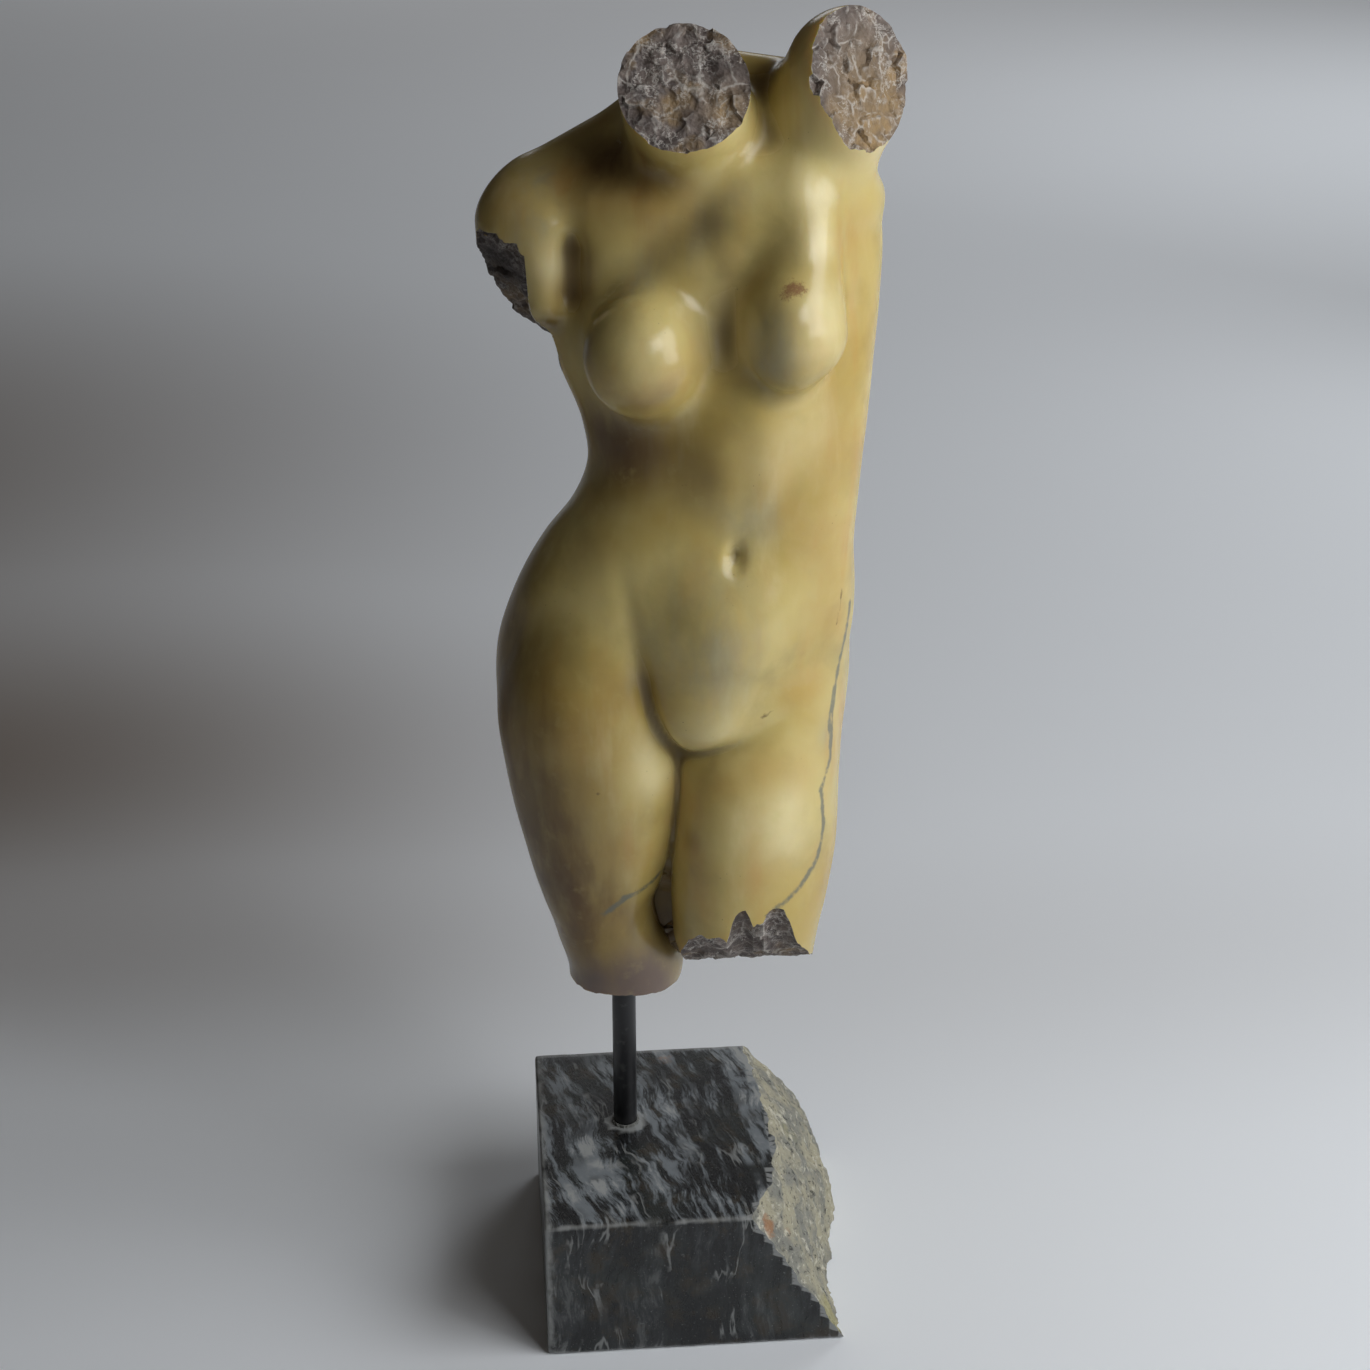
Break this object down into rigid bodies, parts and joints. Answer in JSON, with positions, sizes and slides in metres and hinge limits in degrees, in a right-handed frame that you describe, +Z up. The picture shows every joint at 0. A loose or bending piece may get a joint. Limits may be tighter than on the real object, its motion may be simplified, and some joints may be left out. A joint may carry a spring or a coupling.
{
  "type": "marble female torso on a rod and stone plinth",
  "caption": "Carved marble female torso with broken neck, arms and thighs, held on a black steel rod above a rough-ended dark stone plinth.",
  "frame": {"origin": "centre of the plinth's underside, midway along its foot and its depth", "axes": "+Z up, -Y towards the front of the plinth, +X along the plinth's front edge towards its broken end"},
  "size_m": [0.1855, 0.1589, 0.6444],
  "materials": {
    "marble": "polished honey-yellow marble, veined, with rough old breaks",
    "black_steel": "satin black steel rod",
    "dark_stone": "polished dark green-black stone, broken rough on one end"
  },
  "bodies": {
    "root": {"torso": "marble", "mounting_rod": "black_steel", "plinth": "dark_stone"}
  },
  "joints": []
}
